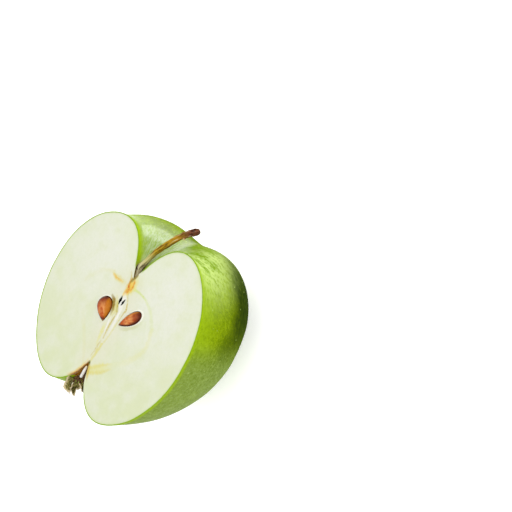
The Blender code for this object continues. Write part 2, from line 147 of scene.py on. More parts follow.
# Marks in the cut face: colour, how broken it is, and knots of x, y, half width and strength
MARK_WAVER_SIZE, MARK_WAVER, MARK_SOFT = 1.1, 0.3, 0.6
BREAK_SIZE, BREAK_RANGE = 0.55, (-0.05, 0.3)
OLIVE, GOLD, ORANGE, SUN = (140, 122, 20), (204, 180, 66), (226, 148, 8), (242, 204, 80)
STRAW, LEMON, LIME, CHALK = (226, 218, 130), (232, 228, 140), (214, 228, 134), (249, 247, 240)
RUST, AMBER, HONEY, SAND = (206, 96, 10), (196, 132, 6), (214, 184, 50), (196, 180, 70)
BROWN, KHAKI, MOSS, SAGE = (104, 54, 0), (150, 122, 10), (84, 92, 10), (212, 214, 160)
MARKS = (
    # Lines round the core on the front and the rear lobe
    (LIME, 0.1,
     (10.4, -1.2, 0.9, 0.3), (10.0, -2.7, 0.6, 0.7), (10.2, -5.4, 0.5, 0.75), (10.1, -7.6, 0.5, 0.6)),
    (LIME, 0.3,
     (10.1, -7.6, 0.5, 0.6), (9.5, -9.9, 0.6, 0.45), (7.8, -13.7, 0.8, 0.35), (3.7, -17.7, 1.0, 0.3)),
    (LEMON, 0.4,
     (3.7, -17.7, 1.0, 0.3), (-2.5, -19.0, 1.2, 0.3), (-9.1, -14.8, 1.4, 0.2), (-14.0, -9.0, 1.0, 0.0)),
    (STRAW, 0.3,
     (10.3, 9.0, 0.8, 0.3), (9.2, 12.0, 0.8, 0.2), (7.3, 14.9, 1.0, 0.12), (2.1, 18.8, 1.2, 0.1)),
    (STRAW, 0.4,
     (-5.5, 14.0, 1.2, 0.0), (-9.5, 9.8, 1.2, 0.15), (-13.5, 5.8, 1.0, 0.15), (-19.0, 1.5, 0.8, 0.2)),
    # Streak between the rear seed and the well
    (STRAW, 0.1,
     (9.8, 8.9, 1.0, 0.3), (9.3, 7.4, 1.4, 0.6), (9.4, 5.4, 1.4, 0.6), (9.6, 2.6, 1.1, 0.3)),
    (SUN, 0.4,
     (9.6, 8.6, 0.5, 0.6), (9.2, 7.2, 0.6, 0.85), (9.3, 5.6, 0.5, 0.8), (9.5, 3.4, 0.3, 0.5)),
    (ORANGE, 0.7,
     (9.5, 8.2, 0.2, 0.3), (9.2, 7.0, 0.4, 0.35), (9.3, 5.6, 0.35, 0.35), (9.5, 4.2, 0.2, 0.2)),
    # Stain under the stem's foot
    (LEMON, 0.1,
     (13.6, -1.2, 1.2, 0.4), (11.4, -1.4, 2.4, 0.75), (9.0, -1.0, 2.4, 0.75), (6.6, -0.2, 1.2, 0.3)),
    (SUN, 0.1,
     (12.6, -0.3, 0.9, 0.5), (11.0, -0.5, 1.9, 0.9), (8.9, -0.4, 2.1, 0.9), (6.7, 0.2, 1.1, 0.6)),
    (GOLD, 0.3,
     (13.8, 2.4, 0.3, 0.3), (12.4, 1.2, 0.5, 0.7), (11.4, 0.7, 0.5, 0.7), (9.6, 1.0, 0.4, 0.3)),
    (ORANGE, 0.2,
     (12.2, 0.3, 0.4, 0.7), (11.0, 0.5, 0.55, 0.95), (9.9, 0.3, 0.65, 1.0), (9.0, -0.5, 0.5, 0.8)),
    (ORANGE, 0.3,
     (12.4, -0.8, 0.35, 0.7), (11.3, -1.4, 0.5, 0.95), (10.2, -1.6, 0.55, 0.9), (9.2, -1.2, 0.5, 0.8)),
    (ORANGE, 0.2,
     (9.2, -0.8, 0.6, 0.6), (8.6, -0.5, 0.9, 0.85), (7.8, -0.1, 0.85, 0.8), (7.0, 0.4, 0.4, 0.3)),
    (SUN, 0.1,
     (10.9, -0.4, 0.2, 0.6), (10.4, -0.5, 0.4, 0.9), (9.6, -0.9, 0.4, 0.9), (9.0, -1.0, 0.2, 0.5)),
    (RUST, 0.1,
     (10.0, 0.2, 0.2, 0.6), (9.6, 0.2, 0.45, 0.9), (9.3, 0.2, 0.45, 0.9), (9.0, 0.2, 0.2, 0.6)),
    (OLIVE, 0.2,
     (14.2, -1.0, 0.5, 0.9), (13.0, -0.5, 0.8, 0.95), (11.9, 0.0, 0.7, 0.95), (10.8, 0.5, 0.45, 0.7)),
    # Fibres that run down the core
    (GOLD, 0.8,
     (8.2, -1.3, 0.3, 0.3), (7.1, -1.5, 0.35, 0.6), (5.8, -2.5, 0.3, 0.6), (4.5, -3.3, 0.4, 0.8)),
    (GOLD, 0.6,
     (4.5, -3.3, 0.4, 0.8), (3.2, -3.8, 0.5, 0.9), (1.6, -3.5, 0.4, 0.7), (-0.9, -3.3, 0.3, 0.5)),
    (STRAW, 0.5,
     (-0.9, -3.3, 0.4, 0.6), (-4.5, -2.9, 0.5, 0.5), (-8.0, -2.4, 0.5, 0.5), (-11.0, -1.6, 0.5, 0.6)),
    (GOLD, 0.4,
     (1.0, -0.9, 0.4, 0.4), (-1.9, -0.7, 0.5, 0.7), (-4.8, -0.6, 0.5, 0.75), (-8.5, -0.9, 0.4, 0.5)),
    (LEMON, 0.4,
     (-4.6, 1.4, 0.9, 0.2), (-6.4, 1.2, 1.1, 0.7), (-8.6, 0.9, 0.9, 0.6), (-11.5, 0.2, 0.6, 0.4)),
    (GOLD, 0.7,
     (-9.6, -0.7, 0.4, 0.4), (-11.4, -0.4, 0.5, 0.6), (-13.4, -0.3, 0.4, 0.5), (-15.4, 0.1, 0.3, 0.4)),
    (STRAW, 0.3,
     (-10.4, -1.7, 0.7, 0.7), (-12.9, -1.4, 0.9, 0.85), (-15.6, -1.0, 0.7, 0.7), (-18.0, -1.0, 0.4, 0.5)),
    # Shade beside the rear seed, and the olive mark at its foot
    (STRAW, 0.2,
     (4.4, 2.6, 0.8, 0.3), (2.6, 1.4, 1.5, 0.8), (0.6, 0.6, 1.4, 0.7), (-2.2, 0.7, 0.9, 0.2)),
    (KHAKI, 0.0,
     (3.9, 4.7, 0.6, 0.5), (2.9, 3.1, 1.2, 1.0), (1.2, 1.9, 1.1, 0.95), (-1.0, 1.3, 0.5, 0.3)),
    (SAND, 0.3,
     (3.4, 1.3, 0.4, 0.4), (2.4, 0.4, 0.7, 0.85), (1.3, -0.4, 0.6, 0.85), (0.2, -0.9, 0.3, 0.3)),
    # Shade under the front seed
    (SAGE, 0.1,
     (-2.8, -5.2, 0.5, 0.2), (-1.4, -7.6, 0.9, 0.6), (0.9, -10.4, 1.0, 0.6), (3.6, -12.2, 0.8, 0.2)),
    # Pale bands between the seeds
    (CHALK, 0.1,
     (7.0, -0.2, 0.6, 0.3), (5.3, -0.7, 1.3, 0.9), (3.6, -0.7, 1.3, 0.9), (2.2, -1.1, 0.8, 0.6)),
    (CHALK, 0.2,
     (3.0, -1.7, 0.7, 0.6), (0.8, -1.8, 0.75, 0.8), (-2.6, -1.9, 0.75, 0.8), (-6.6, -2.0, 0.6, 0.2)),
    (CHALK, 0.2,
     (-1.6, 0.5, 0.3, 0.4), (-3.2, 0.5, 0.5, 0.8), (-5.2, 0.2, 0.45, 0.7), (-7.2, -0.3, 0.4, 0.2)),
    # Streaks off the calyx tube
    (LEMON, 0.1,
     (-19.0, -1.9, 1.0, 0.5), (-17.9, -4.0, 1.9, 0.65), (-15.6, -7.3, 1.9, 0.55), (-12.6, -11.0, 1.1, 0.0)),
    (STRAW, 0.5,
     (-18.8, -1.8, 0.6, 0.9), (-17.7, -3.6, 0.6, 0.8), (-15.0, -6.7, 0.6, 0.6), (-12.4, -10.4, 0.4, 0.0)),
    (STRAW, 0.4,
     (-20.4, -2.4, 0.8, 0.9), (-18.8, -5.3, 0.8, 0.9), (-16.6, -8.2, 0.7, 0.7), (-13.4, -11.4, 0.4, 0.0)),
    # Edges of the calyx tube
    (SUN, 0.3,
     (-17.0, 0.3, 0.4, 0.2), (-20.4, 1.4, 0.7, 0.6), (-23.2, 3.0, 0.7, 0.6), (-26.0, 6.2, 0.6, 0.0)),
    (AMBER, 0.2,
     (-17.2, -0.4, 0.3, 0.8), (-20.4, 0.8, 0.6, 1.0), (-23.4, 2.5, 0.7, 1.0), (-25.4, 4.6, 0.5, 0.7)),
    (BROWN, 0.1,
     (-17.6, -0.5, 0.3, 0.9), (-20.4, 0.5, 0.55, 1.0), (-23.0, 1.9, 0.6, 1.0), (-25.0, 3.6, 0.5, 0.8)),
    (HONEY, 0.3,
     (-17.6, -1.2, 0.4, 0.7), (-19.4, -2.0, 0.7, 0.9), (-21.0, -2.8, 0.7, 0.8), (-22.6, -3.6, 0.4, 0.2)),
    (MOSS, 0.1,
     (-16.8, -0.8, 0.2, 0.4), (-17.4, -0.9, 0.6, 1.0), (-17.9, -1.0, 0.6, 1.0), (-18.6, -1.1, 0.2, 0.5)),
)

# Stem: knots of its middle line, and its radius at each knot
STEM_KNOTS = (
    (12.9, 0.3, -1.0),
    (14.6, 0.3, -1.0),
    (16.7, 0.6, -1.05),
    (19.2, -0.1, -1.3),
    (23.2, -1.4, -1.6),
    (27.6, -3.9, -2.0),
    (32.0, -7.1, -2.4),
    (35.9, -11.4, -2.7),
)
STEM_RADII = (0.65, 0.85, 1.0, 0.8, 0.85, 0.95, 0.95, 1.1)
STEM_SIDES, STEM_STEPS = 56, 36
STEM_LENGTH, BARK_RADIUS = 27.5, 1.2
NODE_PLACE, NODE_BREADTH = 22.8, 0.45
SCAR_TURN, SCAR_SPREAD, SCAR_HEIGHT = 0.3, 0.35, 0.55
TIP_START, TIP_STOP = 24.6, 26.2
FOOT_KNOB, FOOT_KNOB_BREADTH = 3.9, 1.1
SHADE_TURN = 0.5  # the stem's side that is darkened with painted shade

# Style, and the tuft of stamens round it
STYLE_KNOTS = ((-19.2, -0.6, -0.1), (-21.0, -0.6, -0.1), (-22.8, -0.5, -0.2))
STYLE_RADII = (0.32, 0.52, 0.45)
STYLE_SIDES, STYLE_STEPS = 24, 12
TUFT_MIDDLE, TUFT_COUNT = (-22.6, -0.3, -1.2), 21
TUFT_LENGTH, TUFT_SPREAD, TUFT_FLATNESS = 3.8, 2.4, 0.4
STALK_RADII, STALK_SHARES = (0.3, 0.2, 0.24, 0.4), (0, 0.5, 0.85, 1)
STALK_SIDES, STALK_STEPS, STALK_CAP_STEPS = 10, 8, 4

# Sepals: root, elbow and tip, then the way across the leaf, and its width
SEPALS = {
    "sepal_front": ((-24.2, -1.7, -1.0), (-25.6, -2.8, -1.6), (-26.2, -2.2, -1.4), (0.3, -0.5, -0.8), 2.4),
    "sepal_back": ((-26.0, 1.4, -2.0), (-28.6, 2.8, -3.2), (-30.0, -0.3, -1.8), (0.5, -0.6, -0.6), 3.0),
    "sepal_rear": ((-25.6, 3.2, -1.2), (-28.8, 4.6, -2.0), (-29.5, 1.8, -1.6), (0.0, 0.3, 1.0), 3.0),
}
SEPAL_THICKNESS, SEPAL_CUP = 0.22, 0.6
LEAF_POINT = 0.36  # a lower number makes the leaf's end blunter
SEPAL_STEPS, SEPAL_COLUMNS = 44, 22

# The photograph's camera, from the core
EYE = (115.0, -346.1, 339.4)
AZIMUTH, ELEVATION, ROLL = (math.radians(angle) for angle in (13.44, 47.13, -70.4))
LENS, SENSOR = 112.5, 36.0

# Studio: each light's place in the row, side and power
FLOOR_REACH, FLOOR_SHADE = 3.0, (0.96, 0.96, 0.96)
FLOOR_GLOW = 0.3  # the floor is a table that is lit from below
SURROUND = 1.1
LIGHTS = {
    "overhead": ((0.0, 0.0, 0.9), 0.9, 3.6),
    "camera_side": ((0.42, -0.6, 0.42), 0.5, 2.2),
    "stem_side": ((0.19, 0.03, 0.03), 0.115, 0.17),
}


def to_row(places):
    """Places from the core, in millimetres, as places in the row's frame, in metres."""
    return (np.asarray(places, float) + CORE) * MM


def shade(red, green, blue):
    """A colour as the full light shows it on a screen, 0 to 255, as a shader takes it."""
    seen = np.array([red, green, blue]) / 255
    linear = np.where(seen <= 0.04045, seen / 12.92, ((seen + 0.055) / 1.055) ** 2.4)
    return (*(linear / FULL_LIGHT).tolist(), 1.0)


def fade(value, low, high):
    """0 below low and 1 above high, with a smooth way between."""
    share = np.clip((value - low) / (high - low), 0, 1)
    return share * share * (3 - 2 * share)


def hump(value, breadth):
    """1 where the value is 0, and less on both sides: almost 0 at twice the breadth."""
    return np.exp(-((value / breadth) ** 2))


def round_turns(sides):
    """Angles evenly round a circle."""
    return np.linspace(0, 2 * math.pi, sides, endpoint=False)


def length_along(line):
    """The length of a line of places up to each of them."""
    return np.concatenate([[0], np.cumsum(np.linalg.norm(np.diff(line, axis=0), axis=1))])


def rough(places, size):
    """Smooth noise from -1 to 1 at places in millimetres, with swellings of about that size."""
    flat = np.asarray(places, float).reshape(-1, 3) / size
    found = np.array([noise.noise(place) for place in flat])
    return found.reshape(np.shape(places)[:-1])


def smooth_line(knots, steps):
    """A smooth line of places through the knots, with that many steps between two of them."""
    knots = np.asarray(knots, float)
    ends = np.vstack([2 * knots[0] - knots[1], knots, 2 * knots[-1] - knots[-2]])
    line = []
    for before, start, stop, after in zip(ends, ends[1:], ends[2:], ends[3:]):
        for t in np.arange(steps) / steps:
            curve = 2 * start + (stop - before) * t
            curve = curve + (2 * before - 5 * start + 4 * stop - after) * t**2
            line.append((curve + (3 * start - before - 3 * stop + after) * t**3) / 2)
    return np.array([*line, knots[-1]])


def nearest(places, points):
    """The distance of each place to the nearest of the points, and which point that is."""
    places, points = (np.pad(grid, ((0, 0), (0, 3 - grid.shape[1]))) for grid in (places, points))
    tree = KDTree(len(points))
    for i, point in enumerate(points):
        tree.insert(point, i)
    tree.balance()
    found = [tree.find(place) for place in places]
    return np.array([hit[2] for hit in found]), np.array([hit[1] for hit in found], int)


def stroke(places, knots):
    """How far inside a stroke of changing width places lie, and its values at the nearest point.

    Knots are (x, y, half width, ...). The depth is 1 on the stroke's line and 0 on its edge.
    """
    line = smooth_line(knots, STROKE_STEPS)
    depth = np.full(len(places), OFF)
    values = np.zeros((len(places), line.shape[1]))
    room = line[:, 2].max() * 2
    low, high = line[:, :2].min(0) - room, line[:, :2].max(0) + room
    near = np.flatnonzero(((places > low) & (places < high)).all(axis=1))
    if len(near):
        away, index = nearest(places[near], line[:, :2])
        depth[near] = 1 - away / line[index, 2]
        values[near] = line[index]
    return depth, values


def add_object(name, data):
    """A new object in the scene."""
    made = bpy.data.objects.new(name, data)
    bpy.context.scene.collection.objects.link(made)
    return made


def add_mesh(name, places, faces, materials, floats=None, replaced=()):
    """A piece of the object from places in millimetres, with values for its materials to read."""
    mesh = bpy.data.meshes.new(name)
    mesh.from_pydata(to_row(places).tolist(), [], faces)
    for material in materials:
        mesh.materials.append(material)
    for key, values in (floats or {}).items():
        values = np.asarray(values, np.float32)
        kind, field = ("FLOAT", "value") if values.ndim == 1 else ("FLOAT_VECTOR", "vector")
        mesh.attributes.new(key, kind, "POINT").data.foreach_set(field, values.ravel())
    mesh.shade_smooth()
    mesh.set_sharp_from_angle(angle=SHARP_ANGLE)
    piece = add_object(name, mesh)
    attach(piece, BODY)
    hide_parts(*replaced)
    return piece


def grid_cells(rows, columns):
    """For each cell of a grid, its first place and the place after it in the next row."""
    firsts = [row * columns + i for row in range(rows - 1) for i in range(columns - 1)]
    return [(first, first + columns) for first in firsts]


def tube_faces(count, sides, first=0):
    """Faces of rings of places that follow one another, with one place before and one after them."""
    start, stop = first, first + count * sides + 1
    faces = []
    for ring in range(count - 1):
        near, far = start + 1 + ring * sides, start + 1 + (ring + 1) * sides
        for side in range(sides):
            after = (side + 1) % sides
            faces.append((near + side, far + side, far + after, near + after))
    last = stop - sides
    for side in range(sides):
        after = (side + 1) % sides
        faces.append((start, start + 1 + side, start + 1 + after))
        faces.append((stop, last + after, last + side))
    return faces


def tube_places(line, radii, sides, reshape=None):
    """Places of a round tube with domed ends along a line, for tube_faces."""
    line, radii = np.asarray(line), np.asarray(radii)
    along = np.gradient(line, axis=0)
    along /= np.linalg.norm(along, axis=1)[:, None]
    across = np.cross(along, (0, 0, 1))
    across /= np.linalg.norm(across, axis=1)[:, None]
    upward = np.cross(across, along)
    turn = round_turns(sides)
    reach = radii[:, None] * np.ones(sides)
    if reshape:
        reach = reshape(reach)
    way = across[:, None] * np.cos(turn)[:, None] + upward[:, None] * np.sin(turn)[:, None]
    rings = line[:, None] + way * reach[..., None]
    ends = line[0] - along[0] * radii[0] * CAP_BULGE, line[-1] + along[-1] * radii[-1] * CAP_BULGE
    return np.vstack([ends[0], rings.reshape(-1, 3), ends[1]])


def domed(line, radii, steps):
    """The line and its radii with a few more places at each end, where the tube rounds off."""
    for _ in range(2):
        end, back = line[0], line[0] - line[1]
        back = back / np.linalg.norm(back)
        lean = np.linspace(math.pi / 2, CAP_LEAN, steps)[:, None]
        cap = end + back * radii[0] * np.cos(lean[::-1])[::-1]
        line = np.vstack([cap[:0:-1], line])
        radii = np.concatenate([(radii[0] * np.sin(lean[1:, 0]))[::-1], radii])
        line, radii = line[::-1], radii[::-1]
    return line, radii


def tube_line(knots, radii, steps, shares=None, cap_steps=CAP_STEPS):
    """A smooth line with domed ends, and its radii, which are given at shares of the way along."""
    line = smooth_line(knots, steps)
    shares = np.linspace(0, 1, len(radii)) if shares is None else shares
    return domed(line, np.interp(np.linspace(0, 1, len(line)), shares, radii), cap_steps)


class Graph:
    """One material's nodes. Each call adds a node and gives back its output."""

    def __init__(self, name):
        self.material = bpy.data.materials.new(name)
        self.material.use_nodes = True
        self.tree = self.material.node_tree
        self.shader = self.tree.nodes["Principled BSDF"]

    def put(self, socket, value):
        """Links an output to the socket, or sets the socket to a plain value."""
        if isinstance(value, bpy.types.NodeSocket):
            self.tree.links.new(value, socket)
        else:
            socket.default_value = value

    def add(self, kind, output, inputs, **settings):
        """Adds a node with its inputs and settings, and gives back one of its outputs."""
        made = self.tree.nodes.new(kind)
        for key, value in settings.items():
            setattr(made, key, value)
        for key, value in inputs.items():
            self.put(made.inputs[key], value)
        return made.outputs[output]

    def value(self, name, output="Fac"):
        """A value that the mesh holds at its places."""
        return self.add("ShaderNodeAttribute", output, {}, attribute_name=name)

    def place(self):
        """The place in the piece's own space, in metres."""
        return self.add("ShaderNodeTexCoord", "Object", {})

    def stretched(self, vector, sizes):
        """A place as a share of a pattern's size in each direction."""
        scale = tuple(1 / size for size in sizes)
        return self.add("ShaderNodeMapping", "Vector", {"Vector": vector, "Scale": scale})

    def noise(self, size, detail=2.0, vector=None, roughness=0.5, warp=0.0):
        """Noise with swellings of that many millimetres, or of the vector's own unit."""
        scale = 1 / size if vector else 1 / (size * MM)
        inputs = {"Vector": vector or self.place(), "Scale": scale, "Detail": detail}
        inputs.update({"Roughness": roughness, "Distortion": warp})
        return self.add("ShaderNodeTexNoise", "Fac", inputs)

    def cells(self, size):
        """The distance to the middle of cells of that many millimetres."""
        inputs = {"Vector": self.place(), "Scale": 1 / (size * MM)}
        return self.add("ShaderNodeTexVoronoi", "Distance", inputs)

    def span(self, value, low, high, start=0.0, stop=1.0):
        """start below low and stop above high, with a smooth way between."""
        inputs = {"Value": value, "From Min": low, "From Max": high}
        inputs.update({"To Min": start, "To Max": stop})
        return self.add("ShaderNodeMapRange", "Result", inputs, interpolation_type="SMOOTHSTEP")

    def sum(self, first, second, way="ADD"):
        """The two values added, or worked out in another way."""
        return self.add("ShaderNodeMath", "Value", {0: first, 1: second}, operation=way)

    def times(self, first, second):
        """The two values multiplied."""
        return self.sum(first, second, "MULTIPLY")

    def mix(self, share, first, second, way="MIX"):
        """first where the share is 0, and second where it is 1. A plain colour is as on a screen."""
        made = self.tree.nodes.new("ShaderNodeMix")
        made.data_type = "RGBA"
        made.blend_type = way
        for key, value in ((0, share), (6, first), (7, second)):
            self.put(made.inputs[key], shade(*value) if isinstance(value, tuple) else value)
        return made.outputs[2]

    def layers(self, colour, *layers):
        """The colour under others, each with the share that it covers."""
        for share, cover in layers:
            colour = self.mix(share, colour, cover)
        return colour

    def ramp(self, share, *stops):
        """A colour for each share, from stops of a share and a colour as on a screen."""
        made = self.tree.nodes.new("ShaderNodeValToRGB")
        self.put(made.inputs["Fac"], share)
        marks = made.color_ramp.elements
        while len(marks) < len(stops):
            marks.new(1.0)
        for mark, (place, colour) in zip(marks, stops):
            mark.position = place
            mark.color = shade(*colour)
        return made.outputs["Color"]

    def bump(self, height, depth, normal=None):
        """Relief that is that many millimetres deep where the height goes from 0 to 1."""
        inputs = {"Height": height, "Distance": depth * MM}
        if normal:
            inputs["Normal"] = normal
        return self.add("ShaderNodeBump", "Normal", inputs)

    def finish(self, **sockets):
        """Sets the shader's sockets, named with _ for each space."""
        for key, value in sockets.items():
            self.put(self.shader.inputs[key.replace("_", " ")], value)
        return self.material


def skin_colour(graph):
    """Greens of the skin: broad tones, mottling, painted light by the cut and painted shade below, a pale
    painted reflection low on the flank, pale flecks off the stem that are partly a painted highlight, and
    dots.
    """
    along = graph.value("grain", "Vector")
    flecks = graph.noise(1.0, 4.0, graph.stretched(along, (0.9, 0.9, 2.4)), 0.6, 0.3)
    fine = graph.noise(0.45, 4.0, roughness=0.7)
    mottle = graph.noise(1.1, 4.0, roughness=0.75)
    broad = graph.sum(graph.times(graph.noise(12.0, 2.0), 0.5), graph.times(fine, 0.5))
    colour = graph.ramp(broad, (0.36, (100, 124, 0)), (0.5, (118, 143, 0)), (0.62, (146, 172, 10)))
    # painted light: the skin lighter green near the cut, at the top of the flank
    painted_light_near_cut = graph.span(graph.value("rim"), 11.0, 2.0)
    painted_light_near_cut = graph.times(painted_light_near_cut, graph.span(graph.value("painted_reflection"), 0.1, 0.9, 1.0, 0.3))
    # painted shade: darker green towards the underside
    painted_shade = graph.times(graph.value("painted_shade"), graph.span(flecks, 0.7, 0.4, 0.85, 1.0))
    # painted reflection: a paler, greyer green low on the flank
    reflection_haze = graph.mix(graph.span(mottle, 0.3, 0.68), (116, 140, 46), (148, 172, 86))
    painted_reflection = graph.times(graph.value("painted_reflection"), graph.span(fine, 0.36, 0.62, 0.5, 1.0))
    # pale flecks on the front shoulder, real streaks and a painted highlight both
    shoulder = graph.times(graph.value("shoulder"), graph.span(flecks, 0.36, 0.56, 0.5, 1.0))
    dark = graph.times(graph.value("shoulder"), graph.span(flecks, 0.48, 0.36, 0.0, 0.5))
    dots = graph.span(graph.cells(3.1), 0.11, 0.05, 0.0, 0.5)
    colour = graph.layers(
        colour,
        (painted_light_near_cut, (146, 176, 16)),
        (graph.span(mottle, 0.5, 0.34, 0.0, 0.5), (92, 120, 0)),
        (graph.span(mottle, 0.52, 0.68, 0.0, 0.4), (170, 198, 30)),
        (graph.span(fine, 0.54, 0.68, 0.0, 0.3), (166, 192, 30)),
        (painted_shade, (40, 58, 0)),
        (painted_reflection, reflection_haze),
        (shoulder, (206, 230, 134)),
        (dark, (130, 166, 20)),
        (dots, (186, 210, 110)),
    )
    return well_colour(graph, colour, flecks, fine)


def well_colour(graph, colour, flecks, fine):
    """Adds the hollow's chalky wall, which is partly a painted highlight, its russet floor, painted shade
    along the folds, and the bright edge of the cut.
    """
    stem_distance = graph.value("stem_distance")
    # chalky tone on the hollow's wall, partly a painted highlight
    chalk_and_highlight = graph.mix(graph.span(flecks, 0.36, 0.66), (140, 168, 56), (178, 198, 144))
    # painted shade: deeper green along the folds
    fold_shade = graph.times(graph.value("fold_shade"), graph.span(flecks, 0.62, 0.4, 0.45, 0.95))
    edge = graph.sum(stem_distance, graph.times(fine, -5.0))
    foot = graph.sum(stem_distance, graph.times(flecks, -1.5))
    bright = graph.span(graph.sum(graph.value("rim"), graph.times(flecks, -0.8)), 1.2, 0.1)
    bright = graph.times(bright, graph.span(stem_distance, 4.0, 6.5, 0.0, 0.9))
    bright = graph.times(bright, graph.span(stem_distance, 32.0, 22.0, 0.5, 1.0))
    return graph.layers(
        colour,
        (graph.times(graph.value("wall"), 0.9), chalk_and_highlight),
        (fold_shade, (118, 154, 4)),
        (graph.span(edge, 5.5, 1.0, 0.0, 0.8), (150, 148, 66)),
        (graph.span(foot, 3.4, 2.2), (104, 82, 24)),
        (bright, (156, 190, 14)),
    )


def skin_material():
    """Waxy green skin, with the brown lining of the calyx where the basin ends in the tube."""
    graph = Graph("skin")
    hairs = graph.noise(1.0, 4.0, graph.stretched(graph.value("grain", "Vector"), (0.4, 0.4, 2.4)))
    lining = graph.ramp(hairs, (0.32, (70, 34, 10)), (0.5, (158, 96, 24)), (0.68, (214, 168, 66)))
    fine = graph.noise(0.35, 3.0)
    calyx = graph.sum(graph.value("calyx_distance"), graph.times(fine, -1.2))
    dry = graph.span(calyx, 3.4, 2.4)
    normal = graph.bump(graph.noise(0.8, 3.0), 0.012)
    normal = graph.bump(graph.span(graph.cells(3.1), 0.1, 0.03), 0.01, normal)
    normal = graph.bump(graph.times(hairs, dry), 0.15, normal)
    return graph.finish(
        Base_Color=graph.mix(dry, skin_colour(graph), lining),
        Roughness=graph.sum(graph.sum(graph.times(fine, 0.16), 0.26), graph.times(dry, 0.35)),
        Normal=normal,
        Specular_IOR_Level=0.0,
        Coat_Weight=graph.value("shine"),
        Coat_Roughness=0.14,
        Subsurface_Weight=0.06,
        Subsurface_Scale=1.5 * MM,
        Subsurface_Radius=(1.0, 1.0, 0.3),
    )


def flesh_colour(graph):
    """Pale flesh: cooler by the stem, greener by the calyx and the skin, creamy by the core."""
    rim = graph.value("rim")
    clouds = graph.noise(6.0, 3.0, roughness=0.55)
    core = graph.span(graph.value("core_distance"), 10.0, 2.0, 0.0, 0.5)
    grain = graph.noise(0.8, 4.0, roughness=0.7)
    ground = graph.layers(
        graph.mix(graph.value("low"), (237, 239, 224), (226, 232, 196)),
        (graph.span(rim, 12.0, 1.0, 0.0, 0.35), (222, 232, 186)),
        (graph.span(clouds, 0.4, 0.7, 0.0, 0.45), (238, 239, 228)),
        (graph.span(clouds, 0.5, 0.3, 0.0, 0.4), (224, 230, 190)),
        (core, (233, 230, 204)),
        (graph.span(grain, 0.35, 0.75, 0.0, 0.3), (218, 226, 186)),
    )
    fine = graph.span(graph.noise(0.4, 3.0, roughness=0.7), 0.25, 0.6, 0.72, 1.0)
    ground = graph.mix(graph.times(graph.value("mark"), fine), ground, (0, 0, 0))
    return graph.mix(fine, ground, graph.value("mark_colour", "Color"), "ADD")


def flesh_material():
    """Moist cut flesh, with its thin green rim, marks, open seed pockets and slits."""
    graph = Graph("flesh")
    colour = flesh_colour(graph)
    pocket = graph.value("pocket")
    halo = graph.times(graph.span(pocket, -0.45, -0.2), graph.span(pocket, 0.1, 0.0))
    halo = graph.times(halo, graph.value("far_from_core"))
    wall = graph.noise(0.5, 3.0)
    locule = graph.mix(graph.span(wall, 0.35, 0.65), (110, 76, 8), (176, 140, 48))
    edge = graph.sum(graph.value("rim"), graph.times(graph.noise(1.5, 3.0), -0.25))
    skin_side = graph.value("skin_side")
    soft = graph.times(graph.span(edge, 0.9, 0.3, 0.0, 0.3), skin_side)
    colour = graph.layers(
        colour,
        (graph.times(halo, 0.9), (253, 253, 236)),
        (graph.span(pocket, -0.1, 0.1), (120, 70, 10)),
        (graph.span(pocket, 0.05, 0.3), locule),
        # painted shade: the slits' insides near black
        (graph.span(graph.value("slit"), -0.06, 0.02), (14, 18, 2)),
        (soft, (196, 220, 124)),
        (graph.times(graph.span(edge, 0.3, 0.14), skin_side), (140, 176, 2)),
    )
    normal = graph.bump(graph.cells(0.35), 0.02)
    normal = graph.bump(graph.noise(1.6, 3.0), 0.05, normal)
    return graph.finish(
        Base_Color=colour,
        Roughness=graph.sum(graph.times(graph.noise(0.5, 3.0), 0.25), 0.36),
        Normal=normal,
        Specular_IOR_Level=0.06,
        Subsurface_Weight=0.12,
        Subsurface_Scale=0.8 * MM,
        Subsurface_Radius=(1.0, 0.95, 0.6),
    )


def stem_material():
    """Woody stem: grey and pale at its foot, golden olive in the middle, brown at its tip."""
    graph = Graph("bark")
    grain = graph.value("grain", "Vector")
    ridges = graph.noise(1.0, 4.0, graph.stretched(grain, (0.5, 0.5, 3.0)), 0.6)
    blotch = graph.noise(1.0, 3.0, graph.stretched(grain, (0.8, 0.8, 1.4)), 0.6)
    where = graph.sum(graph.value("along"), graph.times(graph.sum(blotch, -0.5), 0.12))
    body = graph.ramp(
        where,
        (0.0, (128, 112, 60)),
        (0.06, (170, 158, 120)),
        (0.15, (214, 206, 164)),
        (0.3, (206, 198, 120)),
        (0.42, (194, 158, 36)),
        (0.75, (186, 138, 20)),
        (0.85, (140, 98, 36)),
        (0.93, (128, 74, 46)),
    )
    dark = graph.mix(0.8, body, (76, 44, 4))
    light = graph.mix(0.6, body, (244, 232, 190))
    dirt = graph.times(graph.span(blotch, 0.62, 0.4), graph.value("dark"))
    foot = graph.times(graph.value("foot"), graph.span(blotch, 0.66, 0.46))
    colour = graph.layers(
        body,
        (graph.span(ridges, 0.52, 0.34), dark),
        (graph.span(ridges, 0.58, 0.74), light),
        (graph.span(graph.value("knob"), 0.3, 0.8), (228, 190, 140)),
        # painted shade on the stem's darker side
        (graph.times(graph.value("under"), 0.5), (92, 66, 8)),
        (graph.times(dirt, 0.85), (60, 30, 18)),
        (foot, (44, 34, 20)),
    )
    normal = graph.bump(ridges, 0.14)
    normal = graph.bump(graph.noise(0.3, 4.0), 0.06, normal)
    return graph.finish(Base_Color=colour, Roughness=0.55, Specular_IOR_Level=0.08, Normal=normal)


